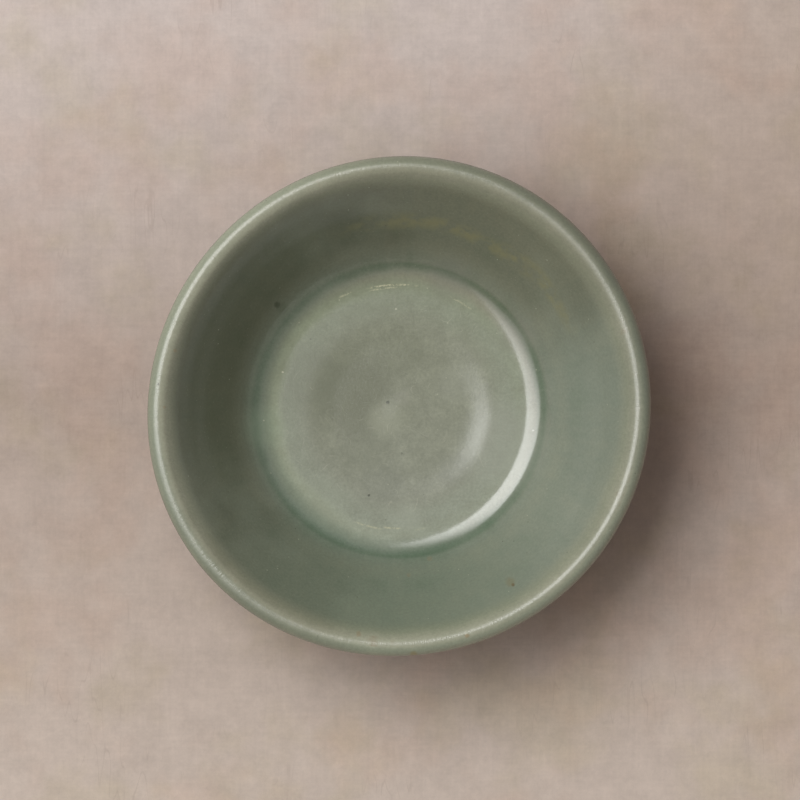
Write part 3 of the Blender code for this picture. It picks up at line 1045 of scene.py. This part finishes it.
def backdrop_canvas():
    """Painted canvas: a warm grey laid on with a broad brush, with painted shade across the middle,
    over a fine weave of threads that the paint has almost filled; one side has painted light and the
    creases painted shade. The threads are drawn 1.2 mm apart, coarser than the real 0.6 mm, so that
    they show."""
    material, tree, shader = new_material("backdrop_canvas_painted")
    millimetres, split = place_in_millimetres(tree)
    # Broad strokes of 95 mm, small blotches of 9 mm, and patches of 30 mm
    broad, small, patches = [
        add(
            tree, "TexNoise",
            {"Vector": millimetres, "Scale": 1 / width, "Detail": detail, "Roughness": roughness},
        )
        for width, detail, roughness in ((95, 3.0, 0.5), (9, 7.0, 0.86), (30, 3.0, 0.6))
    ]
    # Painted shade across the middle, as where a backdrop sweep bends, lighter towards both ends
    tone = add(tree, "MapRange", [split[1], -CANVAS_REACH_MM, CANVAS_REACH_MM])[0]
    tone = add(tree, "Math", [broad["Fac"], 0.10, tone], operation="MULTIPLY_ADD")[0]
    colour = add(
        tree, "ValToRGB", [tone],
        stops=[
            (0.00, "#D5CABF"),
            (0.33, "#CBBDB1"),
            (0.56, "#B1A196"),
            (0.78, "#CBBFB8"),
            (1.00, "#D1C6C2"),
        ],
    )["Color"]
    # Patches a little pinker and a little greener
    hues = add(tree, "SeparateXYZ", [patches["Color"]])
    pinker, greener = [
        add(tree, "MapRange", [hue, 0.46, 0.68], **SMOOTH)[0] for hue in (hues[1], hues[2])
    ]
    colour = in_layers(tree, colour, [(pinker, "#FFFAF7"), (greener, "#FAFAF2")], "MULTIPLY")
    # The weave
    across, along_cloth = [
        add(
            tree, "TexNoise",
            {
                "Vector": add(tree, "Mapping", {"Vector": millimetres, "Scale": stretch})[0],
                "Scale": 1.0, "Detail": 2.0, "Roughness": 0.55,
            },
        )["Fac"]
        for stretch in ((0.07, 0.95, 1.0), (0.95, 0.07, 1.0))
    ]
    weave = add(tree, "Math", [across, along_cloth], operation="ADD")[0]
    shade = add(tree, "Math", [weave, 0.08, 0.92], operation="MULTIPLY_ADD")[0]
    blotch = add(tree, "Math", [small["Fac"], 0.62, 0.69], operation="MULTIPLY_ADD")[0]
    colour = shaded(tree, colour, where_all(tree, shade, blotch))
    # Painted light: one side is lighter
    lit_side_light = add(tree, "MapRange", [split[0], *LIT_SIDE_FROM_MM, 1.0, LIT_SIDE_BRIGHTNESS], **SMOOTH)[0]
    colour = shaded(tree, colour, lit_side_light)
    # One corner is older and browner
    corner = add(tree, "VectorMath", [millimetres, BROWNER_CORNER_MM], operation="DISTANCE")["Value"]
    corner = add(tree, "MapRange", [corner, *BROWNER_REACH_MM, 1.0, 0.0], **SMOOTH)[0]
    colour = in_layers(tree, colour, [(corner, "#F0EBE4")], "MULTIPLY")
    # Painted shade in creases, long and hair thin, here and there
    drawn = add(
        tree, "Mapping",
        {"Vector": millimetres, "Rotation": (0.0, 0.0, 0.2), "Scale": (0.30, 0.035, 1.0)},
    )[0]
    crease_shade = add(
        tree, "TexNoise", {"Vector": drawn, "Scale": 1.0, "Detail": 1.0, "Roughness": 0.5}
    )["Fac"]
    crease_shade = add(tree, "MapRange", [away_from(tree, crease_shade, 0.5), 0.002, 0.014, 0.18, 0.0], **SMOOTH)[0]
    here = add(tree, "MapRange", [hues[0], 0.52, 0.66], **SMOOTH)[0]
    colour = in_layers(tree, colour, [(where_all(tree, crease_shade, here), "#8E7C70")])
    finish(tree, shader, colour, weave, CANVAS_THREAD_HEIGHT, 0.5)
    shader.inputs["Roughness"].default_value = 0.9
    shader.inputs["IOR"].default_value = CANVAS_IOR
    return material


# Pieces

glaze = celadon_glaze()
burnt = burnt_foot_clay()
stoneware = grey_stoneware()

seen, back = coat_outline()
crest = max(range(len(seen)), key=lambda i: seen[i][1])
coat_depths = [
    inside_depth(radius) if i <= crest else outside_depth(radius, height)
    for i, (radius, height) in enumerate(seen)
]
coat_depths += [(HIDDEN_DEPTH, 0.0)] * len(back)
coat = turned("glaze_coat", [*seen, *reversed(back)], glaze, range(len(seen)), coat_depths)
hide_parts("inside_glaze", "outside_glaze")
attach(coat, "root")

recess_points = recess_outline()
recess_depths = [(RECESS_DEPTH, 0.0)] * len(recess_points)
recess = turned("foot_recess_coat", recess_points, glaze, depths=recess_depths)
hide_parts("foot_recess_glaze")
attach(recess, "root")

body = turned("thrown_stoneware", body_outline(), stoneware)
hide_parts("thrown_body")
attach(body, "root")

foot = turned("turned_foot_ring", foot_outline(), burnt)
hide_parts("foot_ring")
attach(foot, "root")

# Floor

FLOOR_HALF = 6.0
floor_corners = [
    (x * FLOOR_HALF, y * FLOOR_HALF, 0) for x, y in ((-1, -1), (1, -1), (1, 1), (-1, 1))
]
floor_mesh = bpy.data.meshes.new("backdrop")
floor_mesh.from_pydata(floor_corners, [], [(0, 1, 2, 3)])
floor = bpy.data.objects.new("backdrop", floor_mesh)
bpy.context.scene.collection.objects.link(floor)
floor_mesh.materials.append(backdrop_canvas())

# Camera: nearly straight above, a little to the near side, with a long lens

CAMERA_TILT = math.radians(2.35)
CAMERA_DISTANCE = 1140 * MM
RIM_PLANE = 38.2 * MM
AIM = Vector((0.21 * MM, 1.71 * MM, RIM_PLANE))
FRAME_WIDTH = 207.2 * MM
SENSOR_WIDTH_MM = 36.0

camera_data = bpy.data.cameras.new("camera")
camera_data.sensor_width = SENSOR_WIDTH_MM
camera_data.lens = SENSOR_WIDTH_MM * CAMERA_DISTANCE / FRAME_WIDTH
camera_data.clip_start = 0.05
camera_data.clip_end = 50
camera = bpy.data.objects.new("camera", camera_data)
bpy.context.scene.collection.objects.link(camera)
camera.location = AIM + CAMERA_DISTANCE * Vector((0, -math.sin(CAMERA_TILT), math.cos(CAMERA_TILT)))
camera.rotation_euler = (CAMERA_TILT, 0, 0)
bpy.context.scene.camera = camera

# Lamp: a long softbox, up and to the left, facing the dish. Half its length and half its width
# are shares of its distance

LAMP_DISTANCE = 900 * MM
LAMP_AZIMUTH = math.radians(173)
LAMP_POLAR = math.radians(28.9)
LAMP_HALF_LONG = 0.912
LAMP_HALF_SHORT = 0.339
LAMP_LONG_WAY = (-0.357, -0.924, -0.134)
LAMP_POWER = 19.0
# The softbox is brightest near one end: where along its length, how far that reaches, the share
# of it that the rest keeps, and how much of the length the far end takes to fade out
HOT_PLACE = 0.35
HOT_SPREAD = 0.24
COOL_SHARE = 0.1
FAR_END_FADE = 0.34

towards = Vector((
    math.sin(LAMP_POLAR) * math.cos(LAMP_AZIMUTH),
    math.sin(LAMP_POLAR) * math.sin(LAMP_AZIMUTH),
    math.cos(LAMP_POLAR),
))
lamp_long = Vector(LAMP_LONG_WAY).normalized()
lamp_short = towards.cross(lamp_long).normalized()
lamp_long = lamp_short.cross(towards).normalized()
lamp_data = bpy.data.lights.new("softbox", "AREA")
lamp_data.shape = "RECTANGLE"
lamp_data.size = 2 * LAMP_HALF_LONG * LAMP_DISTANCE
lamp_data.size_y = 2 * LAMP_HALF_SHORT * LAMP_DISTANCE
lamp_data.energy = LAMP_POWER
lamp = bpy.data.objects.new("softbox", lamp_data)
bpy.context.scene.collection.objects.link(lamp)
axes = Matrix((lamp_long, lamp_short, towards)).transposed()
lamp.matrix_world = Matrix.Translation(towards * LAMP_DISTANCE) @ axes.to_4x4()
lamp.visible_camera = False
lamp_data.use_nodes = True
lamp_tree = lamp_data.node_tree
emission = lamp_tree.nodes["Emission"]
across = add(lamp_tree, "NewGeometry")["Parametric"]
length_share = add(lamp_tree, "SeparateXYZ", [across])[0]
from_hot = add(
    lamp_tree, "MapRange",
    [length_share, HOT_PLACE - HOT_SPREAD, HOT_PLACE + HOT_SPREAD, -1.0, 1.0],
    clamp=False,
)[0]
fading = where_all(lamp_tree, from_hot, from_hot, -1.0)
bell = add(lamp_tree, "Math", [fading], operation="EXPONENT")[0]
strength = add(lamp_tree, "Math", [bell, 1 - COOL_SHARE, COOL_SHARE], operation="MULTIPLY_ADD")[0]
far_end = add(lamp_tree, "MapRange", [length_share, 0.0, FAR_END_FADE], **SMOOTH)[0]
strength = where_all(lamp_tree, strength, far_end)
lamp_tree.links.new(strength, emission.inputs["Strength"])

# World: the dim warm room around, with a pale band near the horizon

HORIZON_BAND = 0.09
world = bpy.data.worlds.new("room")
bpy.context.scene.world = world
world.use_nodes = True
world_tree = world.node_tree
direction = add(world_tree, "TexCoord")["Generated"]
steepness = add(world_tree, "SeparateXYZ", [direction])[2]
ceiling = add(world_tree, "MapRange", [steepness, 0.0, HORIZON_BAND], **SMOOTH)[0]
room_light = add(
    world_tree, "Mix",
    {MIX_SHARE: ceiling, MIX_FIRST: linear("#C5B5AB"), MIX_SECOND: linear("#817A78")},
    data_type="RGBA",
)[MIX_COLOUR]
world_tree.links.new(room_light, world_tree.nodes["Background"].inputs["Color"])

view = bpy.context.scene.view_settings
view.view_transform = "Standard"
